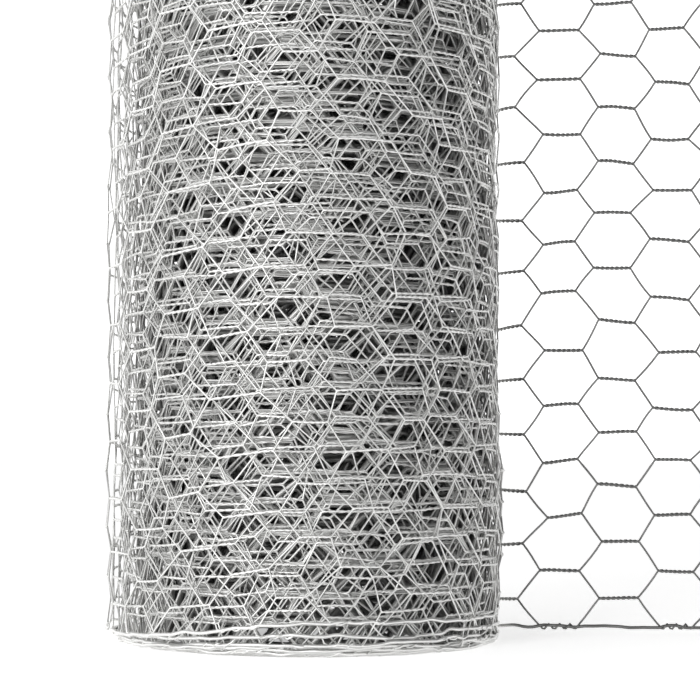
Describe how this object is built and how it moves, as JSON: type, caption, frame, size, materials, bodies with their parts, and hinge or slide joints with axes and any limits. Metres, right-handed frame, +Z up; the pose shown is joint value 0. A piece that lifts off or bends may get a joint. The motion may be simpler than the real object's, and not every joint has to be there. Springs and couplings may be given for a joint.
{
  "type": "chicken_wire_roll",
  "caption": "Roll of galvanised chicken wire standing on its end, wound round an open bore, with its loose end of hexagonal netting pulled out flat to one side",
  "frame": {"origin": "on the axis of the roll's bore, in the plane of the lower end it stands on", "axes": "+Z up along the bore, +X to the right along the straight loose end, +Y to the back, away from the picture's camera"},
  "size_m": [0.3192, 0.1768, 0.6],
  "materials": {
    "galvanised_wire": "hot-dip galvanised steel wire, bright where it is new and dull grey in the turns"
  },
  "bodies": {
    "root": {"netting_roll": "galvanised_wire", "leaving_bend": "galvanised_wire", "loose_end": "galvanised_wire"}
  },
  "joints": []
}
